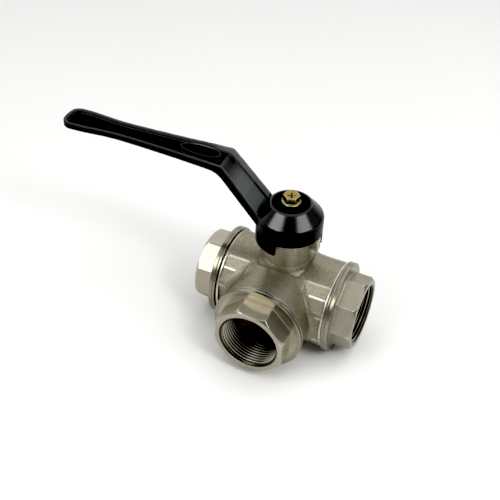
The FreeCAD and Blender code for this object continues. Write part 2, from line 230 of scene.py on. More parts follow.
def soften(values, quads, rounds):
    """Average of a value over neighbouring vertices."""
    for _ in range(rounds):
        total = np.zeros(len(values))
        count = np.zeros(len(values))
        mean = values[quads].mean(1)
        for k in range(4):
            np.add.at(total, quads[:, k], mean)
            np.add.at(count, quads[:, k], 1.0)
        values = total / np.maximum(count, 1.0)
    return values


def wrapped_quads(rows, columns):
    """Quads of a grid of vertices that closes on itself both ways."""
    i, j = np.meshgrid(np.arange(rows), np.arange(columns), indexing="ij")
    i2, j2 = (i + 1) % rows, (j + 1) % columns
    corners = [i * columns + j, i * columns + j2, i2 * columns + j2, i2 * columns + j]
    return np.stack(corners, -1).reshape(-1, 4)


def mesh_normals(verts, quads):
    """Area-weighted vertex normals."""
    normals = np.cross(verts[quads[:, 2]] - verts[quads[:, 0]],
                       verts[quads[:, 3]] - verts[quads[:, 1]])
    out = np.zeros_like(verts)
    for k in range(4):
        np.add.at(out, quads[:, k], normals)
    return out / np.maximum(np.linalg.norm(out, axis=1, keepdims=True), 1e-12)


def mesh_bend(verts, quads, normals):
    """Bend per millimetre, measured along the mesh edges."""
    total = np.zeros(len(verts))
    weight = np.zeros(len(verts))
    for k in range(4):
        a, b = quads[:, k], quads[:, (k + 1) % 4]
        d = verts[b] - verts[a]
        turn = ((normals[b] - normals[a]) * d).sum(1)
        for i in (a, b):
            np.add.at(total, i, turn)
            np.add.at(weight, i, np.maximum((d * d).sum(1), 0.03))
    return total / np.maximum(weight, 1e-9)


def mesh_object(name, verts, quads, normals=None):
    me = bpy.data.meshes.new(name)
    me.vertices.add(len(verts))
    me.vertices.foreach_set("co", ((verts + SHIFT) / 1000.0).astype(np.float32).ravel())
    quads = np.asarray(quads, np.int32)
    me.loops.add(quads.size)
    me.loops.foreach_set("vertex_index", quads.ravel())
    me.polygons.add(len(quads))
    me.polygons.foreach_set("loop_start", np.arange(0, quads.size, 4, dtype=np.int32))
    me.update(calc_edges=True)
    me.validate()
    me.polygons.foreach_set("use_smooth", np.ones(len(me.polygons), bool))
    if normals is not None:
        me.normals_split_custom_set_from_vertices(normals.tolist())
    me.update()
    ob = bpy.data.objects.new(name, me)
    bpy.context.scene.collection.objects.link(ob)
    return ob


def piece(name, node, body, slot, material, verts, quads, normals, **attributes):
    """Mesh that replaces a CAD node, with a float attribute per keyword."""
    ob = mesh_object(name, verts, quads, normals)
    for key, values in attributes.items():
        attribute = ob.data.attributes.new(key, "FLOAT", "POINT")
        attribute.data.foreach_set("value", values.astype(np.float32))
    ob.data.materials.append(material)
    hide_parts(node)
    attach(ob, body)


# --------------------------------------------------------------- shader nodes
class Tree:
    """Node tree of a world or material.  Values are numbers or sockets."""

    def __init__(self, owner):
        owner.use_nodes = True
        self.tree = owner.node_tree
        self.tree.nodes.clear()

    def add(self, kind, *inputs, **props):
        node = self.tree.nodes.new(kind)
        for key, value in props.items():
            setattr(node, key, value)
        for socket, value in zip(node.inputs, inputs):
            self.put(socket, value)
        return node

    def put(self, socket, value):
        if hasattr(value, "links"):
            self.tree.links.new(value, socket)
        else:
            socket.default_value = value

    def math(self, op, a, b=0.0):
        return self.add("ShaderNodeMath", a, b, operation=op).outputs[0]

    def times(self, a, b):
        return self.math("MULTIPLY", a, b)

    def rest(self, value):
        """1 less the value."""
        return self.math("SUBTRACT", 1.0, value)

    def ramp(self, value, over, to=(0.0, 1.0), shape="LINEAR"):
        """Map the span `over` onto the span `to`, held at both ends."""
        return self.add("ShaderNodeMapRange", value, *over, *to,
                        interpolation_type=shape).outputs[0]

    def mix(self, below, above, amount):
        node = self.add("ShaderNodeMix", amount, data_type="RGBA")
        for socket, value in ((node.inputs[6], below), (node.inputs[7], above)):
            self.put(socket, (*value, 1.0) if isinstance(value, tuple) else value)
        return node.outputs[2]


class Material(Tree):
    def __init__(self, name):
        self.mat = bpy.data.materials.new(name)
        super().__init__(self.mat)
        output = self.add("ShaderNodeOutputMaterial")
        self.bsdf = self.add("ShaderNodeBsdfPrincipled")
        self.put(output.inputs[0], self.bsdf.outputs[0])
        self.place = self.add("ShaderNodeTexCoord").outputs["Object"]

    def noise(self, scale, detail, rough, stretch=None, distortion=0.0):
        place = self.place
        if stretch:
            mapping = self.add("ShaderNodeMapping", place)
            mapping.inputs["Scale"].default_value = stretch
            place = mapping.outputs[0]
        node = self.add("ShaderNodeTexNoise")
        for key, value in (("Vector", place), ("Scale", scale), ("Detail", detail),
                           ("Roughness", rough), ("Distortion", distortion)):
            self.put(node.inputs[key], value)
        return node.outputs["Fac"]

    def bump(self, height, distance, strength, after=None):
        node = self.add("ShaderNodeBump")
        self.put(node.inputs["Strength"], strength)
        self.put(node.inputs["Distance"], distance)
        self.put(node.inputs["Height"], height)
        if after is not None:
            self.put(node.inputs["Normal"], after)
        return node.outputs[0]

    def attribute(self, name):
        return self.add("ShaderNodeAttribute", attribute_name=name).outputs["Fac"]

    def bend(self, over):
        """Edges (positive span) or hollows (negative), from the stored bend."""
        return self.ramp(self.attribute("bend"), over)

    def position(self):
        """X, Y and Z in metres, with Y taken from the ball."""
        x, y, z = self.add("ShaderNodeSeparateXYZ", self.place).outputs
        return x, self.math("SUBTRACT", y, float(SHIFT[1] / 1000.0)), z

    def radius(self, a, b):
        return self.math("SQRT", self.math("ADD", self.times(a, a), self.times(b, b)))

    def finish(self, **values):
        for key, value in values.items():
            self.put(self.bsdf.inputs[key.replace("_", " ")], value)
        return self.mat


# ------------------------------------------------------------------ materials
def body_nickel():
    """Satin nickel over a shot-blasted forging: a fine pebble, faint stains,
    smoother edges with a painted highlight, and painted shade in the hollows."""
    n = Material("body_nickel")
    stain = n.noise(scale=55, detail=4, rough=0.6)
    grain = n.noise(scale=950, detail=2, rough=0.65)
    fine = n.noise(scale=2300, detail=2, rough=0.6)
    edge = n.bend(over=(0.045, 0.17))
    base = n.mix((0.300, 0.276, 0.198), (0.362, 0.336, 0.250), n.ramp(stain, over=(0.35, 0.68)))
    # pebble: light crests, then dark pits
    base = n.mix(base, (0.545, 0.518, 0.404), n.ramp(grain, over=(0.36, 0.64), to=(0.0, 0.70)))
    base = n.mix(base, (0.17, 0.150, 0.105), n.ramp(fine, over=(0.55, 0.72), to=(0.0, 0.45)))
    # painted shade in the hollows and painted highlights on the edges
    base = n.mix(base, (0.10, 0.086, 0.056), n.times(n.bend(over=(-0.07, -0.40)), 0.60))
    base = n.mix(base, (0.92, 0.90, 0.82), n.times(edge, 0.78))
    rough = n.ramp(stain, over=(0.3, 0.7), to=(0.43, 0.51))
    rough = n.math("SUBTRACT", rough, n.times(edge, 0.20))
    bump = n.bump(grain, distance=0.00026, strength=0.6)
    bump = n.bump(fine, distance=0.00008, strength=0.5, after=bump)
    return n.finish(Base_Color=base, Metallic=1.0, Roughness=rough, Normal=bump)


def connector_nickel(name, along_x):
    """Nickel over turned brass: faint lathe rings about the port's axis, painted
    shade in the thread roots and down the bore, deepening with depth, and painted highlights on
    the edges and thread crests."""
    n = Material(name)
    fine, coarse = 3200.0, 30.0     # ring noise along and across the axis
    stretch = (fine, coarse, coarse) if along_x else (coarse, fine, coarse)
    stain = n.noise(scale=70, detail=4, rough=0.6)
    rings = n.noise(scale=1.0, detail=2, rough=0.6, stretch=stretch)
    grain = n.noise(scale=1300, detail=2, rough=0.6)
    x, y, z = n.position()
    if along_x:
        across, depth = y, n.math("SUBTRACT", RUN_FACE / 1000.0, n.math("ABSOLUTE", x))
    else:
        across, depth = x, n.math("ADD", y, BRANCH_FACE / 1000.0)
    radius = n.radius(across, z)
    # masks by radius and by depth below the face, in metres
    bore = n.ramp(radius, over=(0.0213, 0.0216), to=(1.0, 0.0))
    bore_shade = n.times(bore, n.ramp(depth, over=(0.003, 0.021)))
    root_shade = n.times(bore, n.ramp(radius, over=(0.01975, 0.02045)))
    edge = n.times(n.bend(over=(0.12, 0.45)), n.rest(bore))
    base = n.mix((0.430, 0.395, 0.313), (0.505, 0.470, 0.378), n.ramp(stain, over=(0.35, 0.68)))
    base = n.mix(base, (0.66, 0.63, 0.53), n.ramp(grain, over=(0.42, 0.68), to=(0.0, 0.35)))
    # painted highlights on the edges
    base = n.mix(base, (0.90, 0.88, 0.82), n.times(edge, 0.8))
    # painted highlights on the thread crests, fading with depth
    crest_highlight = n.times(bore, n.times(n.ramp(radius, over=(0.01955, 0.01995), to=(0.75, 0.0)),
                                  n.ramp(radius, over=(0.0192, 0.0194))))
    crest_highlight = n.times(crest_highlight, n.ramp(depth, over=(0.012, 0.019), to=(1.0, 0.0)))
    base = n.mix(base, (0.88, 0.86, 0.80), crest_highlight)
    # painted shade in the thread roots and down the bore, deepening with depth
    base = n.mix(base, (0.020, 0.018, 0.014), n.times(root_shade, 0.93))
    base = n.mix(base, (0.020, 0.017, 0.012), n.times(bore_shade, 0.94))
    # the collar's rim is darker and smoother
    rim = n.ramp(radius, over=(0.0285, 0.0300))
    rough = n.ramp(stain, over=(0.3, 0.7), to=(0.275, 0.305))
    rough = n.math("SUBTRACT", rough, n.times(edge, 0.12))
    rough = n.math("SUBTRACT", rough, n.times(rim, 0.06))
    base = n.mix(base, (0.24, 0.225, 0.175), n.times(rim, 0.45))
    bump = n.bump(rings, distance=0.00004, strength=0.35)
    bump = n.bump(grain, distance=0.00004, strength=0.30, after=bump)
    return n.finish(Base_Color=base, Metallic=1.0, Roughness=rough, Normal=bump)


def lever_black():
    """Black stoved paint over a die casting: glossy turned hub, coarser satin
    arm with slight orange peel; painted highlights on the rims, painted light on the trough's
    slope and inner walls, painted shade in the hollows."""
    n = Material("lever_black")
    peel = n.noise(scale=420, detail=2, rough=0.5)
    fine = n.noise(scale=1900, detail=2, rough=0.6)
    patch = n.noise(scale=60, detail=3, rough=0.6)
    streak = n.noise(scale=1.0, detail=3, rough=0.6, stretch=(900.0, 900.0, 60.0))
    x, y, z = n.position()
    radius = n.radius(x, y)
    beyond_hub = (0.0228, 0.0236)       # radius in metres where the arm takes over
    trough = n.attribute("trough")
    edge = n.times(n.bend(over=(0.25, 1.1)), n.ramp(radius, over=(0.0226, 0.0236), to=(0.45, 1.0)))
    normal = n.add("ShaderNodeNewGeometry").outputs["Normal"]
    up = n.add("ShaderNodeSeparateXYZ", normal).outputs[2]
    sloped = n.times(n.ramp(up, over=(0.25, 0.50)), n.ramp(up, over=(0.90, 0.985), to=(1.0, 0.0)))
    arm = n.times(n.ramp(radius, over=(0.0205, 0.0209)), trough)
    arm = n.math("MAXIMUM", arm, n.ramp(radius, over=beyond_hub))
    low_down = n.ramp(z, over=(0.0840, 0.0915), to=(1.0, 0.0))
    lit_slope = n.times(n.times(trough, sloped), low_down)
    # painted light on the inner faces of the trough's walls
    wall = n.attribute("wall")

    def speckled(dark, light):
        return n.mix(dark, light, n.ramp(fine, over=(0.35, 0.65)))

    base = n.mix((0.0025, 0.0025, 0.0030), (0.0050, 0.0050, 0.0055),
                 n.ramp(patch, over=(0.3, 0.7)))
    # painted light: a lighter slope of the trough and lighter inner faces of its walls
    base = n.mix(base, speckled((0.0720, 0.0820, 0.0795), (0.0950, 0.1060, 0.1025)), lit_slope)
    base = n.mix(base, speckled((0.1750, 0.1730, 0.1740), (0.2350, 0.2330, 0.2340)), wall)
    # painted shade in the hollows, painted highlights on the edges and on one part of the pad's
    # rim
    base = n.mix(base, (0.006, 0.006, 0.006), n.times(n.bend(over=(-0.20, -0.80)), 0.9))
    base = n.mix(base, (0.050, 0.052, 0.052), n.times(edge, 0.30))
    base = n.mix(base, (0.30, 0.31, 0.31), n.attribute("worn"))
    gloss = n.ramp(n.math("ADD", n.times(streak, 0.6), n.times(fine, 0.4)),
                   over=(0.3, 0.7), to=(0.13, 0.25))
    satin = n.ramp(n.math("ADD", n.times(patch, 0.5), n.times(fine, 0.5)),
                   over=(0.3, 0.7), to=(0.40, 0.52))
    rough = n.add("ShaderNodeMix", arm, data_type="FLOAT")
    n.put(rough.inputs[2], gloss)
    n.put(rough.inputs[3], satin)
    bump = n.bump(peel, distance=0.00006, strength=0.30)
    bump = n.bump(fine, distance=0.00003, strength=0.40, after=bump)
    # specular level: highest on slopes, cut back outside the trough and on its slope
    outer = n.times(n.ramp(radius, over=beyond_hub), n.rest(trough))
    sheen = n.times(sloped, n.rest(n.times(outer, 0.86)))
    sheen = n.times(sheen, n.rest(n.times(lit_slope, 0.60)))
    shine = n.times(n.math("MAXIMUM", sheen, n.times(edge, 0.25)), 0.84)
    return n.finish(Base_Color=base, Metallic=0.0, Roughness=rough.outputs[0], IOR=1.5,
                    Normal=bump, Specular_IOR_Level=n.math("ADD", shine, 0.08))


def bolt_zinc():
    """Yellow passivated zinc: gold with green patches, and painted highlights on the edges."""
    n = Material("bolt_zinc")
    gold = n.noise(scale=340, detail=3, rough=0.6)
    green = n.noise(scale=210, detail=2, rough=0.5, distortion=0.6)
    grain = n.noise(scale=2200, detail=2, rough=0.6)
    edge = n.bend(over=(0.8, 2.6))
    base = n.mix((0.40, 0.23, 0.055), (0.52, 0.38, 0.13), n.ramp(gold, over=(0.38, 0.62)))
    base = n.mix(base, (0.36, 0.40, 0.18), n.ramp(green, over=(0.50, 0.62), to=(0.0, 0.7)))
    # painted highlights on the edges
    base = n.mix(base, (0.88, 0.82, 0.56), n.times(edge, 0.8))
    bump = n.bump(grain, distance=0.00003, strength=0.5)
    rough = n.ramp(grain, over=(0.3, 0.7), to=(0.20, 0.34))
    return n.finish(Base_Color=base, Metallic=1.0, Roughness=rough, Normal=bump)


def turned(name, dark, light, rough, grain_scale=1500, metallic=1.0):
    """A turned or moulded part: two tones, fine marks, uneven gloss."""
    n = Material(name)
    tone = n.noise(scale=120, detail=4, rough=0.6)
    grain = n.noise(scale=grain_scale, detail=3, rough=0.6)
    marks = n.noise(scale=1.0, detail=2, rough=0.6, stretch=(40.0, 40.0, 2600.0))
    base = n.mix(dark, light, n.ramp(tone, over=(0.35, 0.65)))
    glint = tuple(min(1.0, v * 1.25) for v in light)
    base = n.mix(base, glint, n.ramp(grain, over=(0.45, 0.75), to=(0.0, 0.3)))
    bump = n.bump(grain, distance=0.00004, strength=0.5)
    bump = n.bump(marks, distance=0.00002, strength=0.4, after=bump)
    uneven = n.ramp(grain, over=(0.3, 0.7), to=(rough - 0.05, rough + 0.08))
    return n.finish(Base_Color=base, Metallic=metallic, Roughness=uneven, Normal=bump)


def gasket_fibre():
    """Matt grey-brown fibre with fine specks."""
    n = Material("gasket")
    fibre = n.noise(scale=900, detail=5, rough=0.7, stretch=(1.0, 1.0, 2.5))
    speck = n.noise(scale=3000, detail=2, rough=0.6)
    base = n.mix((0.190, 0.178, 0.148), (0.300, 0.283, 0.240), n.ramp(fibre, over=(0.35, 0.68)))
    bump = n.bump(fibre, distance=0.00008, strength=0.6)
    bump = n.bump(speck, distance=0.00003, strength=0.5, after=bump)
    rough = n.ramp(speck, over=(0.3, 0.7), to=(0.75, 0.95))
    return n.finish(Base_Color=base, Metallic=0.0, Roughness=rough, Normal=bump)


BODY = body_nickel()
CONNECTOR_RUN = connector_nickel("connector_nickel_run", along_x=True)
CONNECTOR_BRANCH = connector_nickel("connector_nickel_branch", along_x=False)
LEVER = lever_black()
BOLT = bolt_zinc()
GASKET = gasket_fibre()
SEAT = turned("seat_ptfe", dark=(0.82, 0.82, 0.79), light=(0.90, 0.90, 0.88), rough=0.38,
              grain_scale=900, metallic=0.0)
RUBBER = turned("oring", dark=(0.012, 0.012, 0.012), light=(0.028, 0.028, 0.028), rough=0.55,
                grain_scale=1400, metallic=0.0)
CHROME = turned("ball_chrome", dark=(0.30, 0.29, 0.27), light=(0.38, 0.37, 0.34), rough=0.14,
                grain_scale=2200)
STEM = turned("stem_brass", dark=(0.62, 0.50, 0.26), light=(0.74, 0.62, 0.36), rough=0.28)
GLAND = turned("gland_brass", dark=(0.60, 0.48, 0.25), light=(0.72, 0.60, 0.34), rough=0.30)

# CAD pieces that keep their shape and take a material
KEPT = (
    (GASKET, ["connector_gasket_" + s for s in ("left", "right", "branch")]),
    (SEAT, ["ball_seat_" + s for s in ("left", "right", "branch", "back")]),
    (RUBBER, ["seat_oring_back", "stem_oring_lower", "stem_oring_upper"]),
    (CHROME, ["ball"]),
    (STEM, ["stem"]),
    (SEAT, ["stem_thrust_washer", "gland_packing"]),
    (GLAND, ["gland_ring", "gland_nut"]),
)
for material, nodes in KEPT:
    for node in nodes:
        slots = frame["nodes"][node].data.materials
        slots.clear()
        slots.append(material)


# ----------------------------------------------------------------- valve body
ARM_RADIUS = 31.0
FLATS_START = 20.5                  # forged flats on the run arms, |X| from here
FLATS_END = 38.1
FLATS = ((51.5, 30.55), (36.0, 30.50), (0.0, 29.2))   # degrees from Y, distance
BOSS_RADIUS, BOSS_END = 22.0, 30.0  # blind boss, towards +Y
BOSS_DEPTH = 26.0                   # its pocket
NECK_RADIUS, NECK_TOP = 17.2, 54.0
LUG_X, LUG_Z = 18.3, 48.9           # centre of the lug, on the +X side of the neck
LUG_HALF = (4.1, 2.2, 4.9)
CAVITY_RADIUS = 24.05
# neck bore: wide foot, through hole, counterbore
FOOT_BORE_RADIUS, FOOT_BORE_TOP = 9.6, 27.0
STEM_BORE_RADIUS = 7.05
TOP_BORE_RADIUS, TOP_BORE_FLOOR = 11.0, 43.0

# foot of the neck: radius, z
FOOT = Outline([(-5, 20), (20.6, 20), (20.4, 28.2), (18.2, 30.9), (NECK_RADIUS, 34.0),
                (-5, 34.0)], low=(0, -60), high=(70, 80))


def port_cavity(radial, along, end):
    """Bore of an arm, and the 45 degree chamfer at its mouth."""
    bore = meet(radial - CAVITY_RADIUS, along - (end + 5))
    chamfer = (radial - CAVITY_RADIUS - (along - (end - 0.8))) * 0.7071
    # steep penalties keep the cone to the mouth
    chamfer = chamfer + meet(0, along - (end + 5)) * 9 + meet(0, end - 6 - along) * 9
    return bore, chamfer


def body_solid(x, y, z):
    ax, ay, az = np.abs(x), np.abs(y), np.abs(z)
    run_r, branch_r, stem_r = np.hypot(y, z), np.hypot(x, z), np.hypot(x, y)
    # run arms, round in the middle, with forged flats on the outer half
    run = run_r - ARM_RADIUS
    for angle, distance in FLATS:
        c, s = math.cos(math.radians(angle)), math.sin(math.radians(angle))
        flat = join_soft(ay * c + az * s - distance, ax - FLATS_START, 0.5)
        run = meet_round(run, join_soft(flat, FLATS_END - ax, 0.3), 0.10)
    run = meet_round(run, ax - RUN_END, 0.15)
    branch = meet_round(branch_r - ARM_RADIUS, -y - BRANCH_END, 0.15)
    branch = meet(branch, y - 4.0)
    # the blend dies out where the two cylinders touch along the top,
    # and is wider on the left
    corner = np.clip(1 - z * z / np.maximum(run_r * branch_r, 1e-3), 0, 1)
    left = 1 / (1 + np.exp(np.clip(x / 4.0, -30, 30)))
    out = join_soft(run, branch, np.maximum((4.5 + 4.5 * left) * corner ** 0.8, 0.05))
    boss = meet(meet_round(branch_r - BOSS_RADIUS, y - BOSS_END, 3.0), -y)
    out = join_soft(out, boss, np.maximum(5.0 * corner, 0.05))
    neck = meet_round(meet_round(stem_r - NECK_RADIUS, z - NECK_TOP, 0.7), -z, 1.0)
    out = join_round(out, FOOT(stem_r, z), 0.35)
    out = join_round(out, neck, 0.8)
    lug = meet_round(np.abs(y) - LUG_HALF[1], np.abs(z - LUG_Z) - LUG_HALF[2], 0.5)
    lug = meet_round(lug, np.abs(x - LUG_X) - LUG_HALF[0], 0.5)
    out = join_round(out, lug, 0.8)
    run_bore, run_chamfer = port_cavity(run_r, ax, RUN_END)
    branch_bore, branch_chamfer = port_cavity(branch_r, -y, BRANCH_END)
    pocket = meet(branch_r - SEAT_RADIUS, -y, y - BOSS_DEPTH)
    neck_bore = join(meet(stem_r - FOOT_BORE_RADIUS, z - FOOT_BORE_TOP),
                     stem_r - STEM_BORE_RADIUS,
                     meet(stem_r - TOP_BORE_RADIUS, TOP_BORE_FLOOR - z))
    cavity = join(run_bore, meet(branch_bore, y), pocket, meet(neck_bore, -z),
                  run_chamfer, branch_chamfer)
    return carve(out, cavity, 0.12)


def make_body():
    verts, quads, normals = contour(body_solid, (-42, -44, -33), (42, 33, 56),
                                    0.6 if FINE else 1.0)
    bend = np.clip(crease(body_solid, verts, normals), -1, 0.6)
    piece("forged_body", "valve_body", "body", "body_nickel", BODY, verts, quads, normals,
          bend=soften(bend, quads, 2 if FINE else 1))


# The lug stands on the +X side of the neck only.
make_body()


# ------------------------------------------------------------- end connectors
# Each is a closed profile of (distance along the port, radius) rows swept round
# the port axis, from the back of the collar over the outside and down the bore.
COLLAR_GAP, COLLAR_WIDTH = 0.5, 4.6     # behind the collar; the collar itself
OCTAGON_HALF = 24.5                     # centre to flat
SPIGOT_RADIUS = 23.95
THREAD_PITCH = 2.309
THREAD_MEAN, THREAD_SWING = 20.215, 0.7395   # radii: middle, and either side of it
THREAD_CREST = 19.476
THREAD_LENGTH = 22.0
THROAT_RADIUS = 12.75
MOUTH_RADIUS = 21.5

# angles of one half of an octagon side, in degrees from a corner
HALF_SIDE = [0, 0.5, 1.0, 1.6, 2.4, 3.4, 4.6, 6.0, 7.4, 8.8, 10.2, 11.6, 13.0, 14.4, 15.8,
             17.2, 18.6, 20.0, 21.3, 22.5]

# throat, seat pocket, nose and spigot: distance along the port, radius
INNER_END = [
    (29.0, THROAT_RADIUS), (25.4, THROAT_RADIUS), (25.0, 12.95), (25.0, 15.5),
    (25.0, SEAT_RADIUS), (23.0, SEAT_RADIUS), (20.6, SEAT_RADIUS), (20.5, 18.2),
    (20.5, 19.6), (20.6, 19.85), (24.3, 23.5), (24.6, SPIGOT_RADIUS),
    (27.0, SPIGOT_RADIUS), (31.0, SPIGOT_RADIUS), (36.0, SPIGOT_RADIUS)]


def octagon_angles():
    side = HALF_SIDE + [45 - a for a in reversed(HALF_SIDE[1:-1])]
    return np.radians(np.concatenate([np.array(side) + 45 * k for k in range(8)]))


def octagon(angle):
    """Radius of the octagon, corner at angle 0, edges rounded."""
    a = np.mod(angle, math.pi / 4)
    c = meet_soft(np.cos(a - math.pi / 8), np.cos(a + math.pi / 8), 0.016)
    return OCTAGON_HALF / meet_soft(c, np.cos(a - 3 * math.pi / 8), 0.016)


def thread(s, angle, face):
    """Parallel pipe thread, rounded crests and roots, helical, with a run-out."""
    phase = 2 * math.pi * (s / THREAD_PITCH) - angle
    wave = np.arcsin(0.94 * np.cos(phase)) / math.asin(0.94)
    full = THREAD_MEAN + THREAD_SWING * wave
    fade = np.clip((s - (face - 21.6)) / 4.0, 0, 1)
    fade = fade * fade * (3 - 2 * fade)
    return THREAD_CREST + (full - THREAD_CREST) * fade


def connector(face, body_end, phase):
    back = body_end + COLLAR_GAP
    front = back + COLLAR_WIDTH
    angle = octagon_angles()
    placed = angle + math.radians(phase)
    rows = []

    def row(s, r):
        rows.append((np.broadcast_to(s, angle.shape), np.broadcast_to(r, angle.shape)))

    def arc(s, r, radius, start, end, steps):
        for i in range(steps + 1):
            a = math.radians(start + (end - start) * i / steps)
            row(s + radius * math.cos(a), r + radius * math.sin(a))

    # back of the collar, rim with a groove round it, front of the collar
    for r in (SPIGOT_RADIUS, 26.5, 29.5):
        row(back, r)
    arc(back + 0.3, COLLAR_RADIUS - 0.3, 0.3, 180, 90, 6)
    row(back + 0.8, COLLAR_RADIUS)
    row(back + 1.25, 32.38)
    arc(back + 1.75, 32.42, 0.42, 190, 350, 8)
    row(back + 2.25, 32.38)
    row(front - 0.9, COLLAR_RADIUS)
    arc(front - 0.5, COLLAR_RADIUS - 0.5, 0.5, 90, 0, 6)
    row(front, 31.0)
    row(front, 28.6)
    # foot fillet of the octagon, flats, corner chamfer
    flats = octagon(angle)
    for t in (1.0, 0.6, 0.25):
        row(front + (1 - t) * 0.25, flats + 1.4 * t * t)
    foot, chamfer, top = front + 0.8, face - 3.0, face - 0.22
    for i in range(9):
        row(foot + (chamfer - foot) * i / 8, flats)
    for i in range(1, 25):
        s = chamfer + (top - chamfer) * i / 24
        cone = 24.7 + (face - s) * (26.52 - 24.7) / 2.2
        row(s, join_soft(flats, cone, 0.10))
    edge = join_soft(flats, 24.7, 0.10)
    row(face - 0.07, edge - 0.09)
    for t in (0, 0.2, 0.45, 0.7, 0.9):
        row(face, (edge - 0.28) * (1 - t) + MOUTH_RADIUS * t)
    row(face, MOUTH_RADIUS)
    row(face - 0.05, 21.32)
    # threaded bore, with a chamfered mouth
    start, end = face - 0.05, face - THREAD_LENGTH
    for i in range(1, 201):
        s = start + (end - start) * i / 200
        row(s, meet_soft(thread(s, placed, face), 21.3 - (face - s), 0.12))
    # cone down to the throat
    for i in range(1, 9):
        row(end - 4.0 * i / 8, THREAD_CREST - (THREAD_CREST - THROAT_RADIUS) * i / 8)
    row(end - 4.6, THROAT_RADIUS)
    for s, r in INNER_END:
        row(s, r)
    s, r = np.array(rows, float).transpose(1, 0, 2)
    verts = np.stack([r * np.cos(placed), r * np.sin(placed), s], -1).reshape(-1, 3)
    return verts, wrapped_quads(*s.shape)


# side, swept axes taken as X, Y, Z, their signs, face, body end,
# turn of the octagon in degrees, material
PORTS = (
    ("right", (2, 0, 1), (1, 1, 1), RUN_FACE, RUN_END, 1.65, CONNECTOR_RUN),
    ("left", (2, 0, 1), (-1, -1, 1), RUN_FACE, RUN_END, 180 - 16.7, CONNECTOR_RUN),
    ("branch", (0, 2, 1), (1, -1, 1), BRANCH_FACE, BRANCH_END, 20.2, CONNECTOR_BRANCH),
)
for side, axes, signs, face, body_end, phase, material in PORTS:
    verts, quads = connector(face, body_end, phase)
    verts = verts[:, axes] * signs
    normals = mesh_normals(verts, quads)
    piece("screwed_end_" + side, "end_connector_" + side, "body", "connector_nickel",
          material, verts, quads, normals, bend=mesh_bend(verts, quads, normals))


# ---------------------------------------------------------------------- lever
# Built along +X, then turned about the stem.
LEVER_TURN = math.radians(185.0)
HUB_RADIUS, HUB_BOTTOM, HUB_TOP = 22.77, 55.3, 76.7
SKIRT_INNER, SKIRT_BOTTOM = 19.9, 46.5
SKIRT_GAP_AT = math.radians(135.0)      # middle of the skirt's opening
SKIRT_GAP_HALF = math.radians(51.7)
RIM = 1.8                               # wall left round the trough

# side view of the arm: x, z
TOP = [(8.0, 57.0), (19.6, 70.3), (44.2, 98.4), (45.6, 99.3), (47.5, 99.65), (104.0, 102.1),
       (166.0, 104.5)]
BOTTOM = [(166.0, 100.0), (134.0, 99.1), (104.0, 97.6), (60.0, 95.3), (52.0, 94.5),
          (48.6, 93.2), (45.3, 90.6), (21.2, 63.9), (14.0, 55.9)]
# floor of the trough, closed well above the arm: x, z
FLOOR = [(8.0, 50.5), (46.5, 94.7), (48.5, 95.9), (60.0, 96.7), (104.0, 99.2),
         (166.0, 101.7), (176.0, 125.0), (-10.0, 125.0)]
# half-width of the arm, then of its rounded tip: x, y
HALF = [(8.0, 14.8), (20.0, 14.1), (45.0, 12.3), (65.0, 11.2), (79.4, 10.1), (94.0, 9.4),
        (108.7, 8.75), (123.7, 8.55), (136.0, 9.4), (146.0, 10.4), (155.0, 10.7)]
TIP = [(155.0, 10.7), (158.6, 10.3), (161.6, 8.6), (163.4, 5.2), (164.0, 0.0)]
# half of the pad raised from the trough floor: x, y; its side view: x, z
PAD_HALF = [(50.0, 0.0), (52.6, 3.6), (58.0, 5.4), (64.0, 5.7), (70.0, 5.2), (76.0, 3.7),
            (80.0, 0.0)]
PAD_PROFILE = [(46.0, 94.0), (60.0, 96.0), (86.0, 97.4), (86.0, 101.0), (46.0, 99.2)]
# hollow under the hub: radius, z
HOLLOW_PROFILE = [(-9, 35.3), (SKIRT_INNER, 35.3), (SKIRT_INNER, 65.0), (14.5, 70.8),
                  (11.0, 70.8), (11.0, 62.05), (-9, 62.05)]


def spline(points, steps=8):
    """Smooth curve through the points (centripetal Catmull-Rom)."""
    first, last = 2 * np.array(points[0]) - points[1], 2 * np.array(points[-1]) - points[-2]
    p = np.array([first, *points, last])
    out = []
    for i in range(1, len(p) - 2):
        t = [0.0]
        for k in range(3):
            t.append(t[-1] + max(np.linalg.norm(p[i + k] - p[i + k - 1]), 1e-6) ** 0.5)
        for s in np.linspace(t[1], t[2], steps, endpoint=False):
            a = [((t[k + 1] - s) * p[i - 1 + k] + (s - t[k]) * p[i + k]) / (t[k + 1] - t[k])
                 for k in range(3)]
            b = [((t[k + 2] - s) * a[k] + (s - t[k]) * a[k + 1]) / (t[k + 2] - t[k])
                 for k in range(2)]
            out.append(((t[2] - s) * b[0] + (s - t[1]) * b[1]) / (t[2] - t[1]))
    out.append(p[-2])
    return [tuple(a) for a in out]


pad_curve = spline(PAD_HALF)
pad_loop = pad_curve + [(x, -y) for x, y in reversed(pad_curve[1:-1])]
plan_loop = [(8.0, -30.0)] + spline(HALF) + spline(TIP, 6)[1:] + [(164.0, -30.0)]
PLAN = Outline(plan_loop, low=(-30, 0), high=(172, 32))
PAD = Outline(pad_loop, low=(-30, -30), high=(172, 30))
SIDE, SIDE_FLOOR, PAD_SIDE = (Outline(points, low=(-30, 40), high=(172, 112))
                              for points in (TOP + BOTTOM, FLOOR, PAD_PROFILE))
HOLLOW = Outline(HOLLOW_PROFILE, low=(0, 40), high=(172, 112))


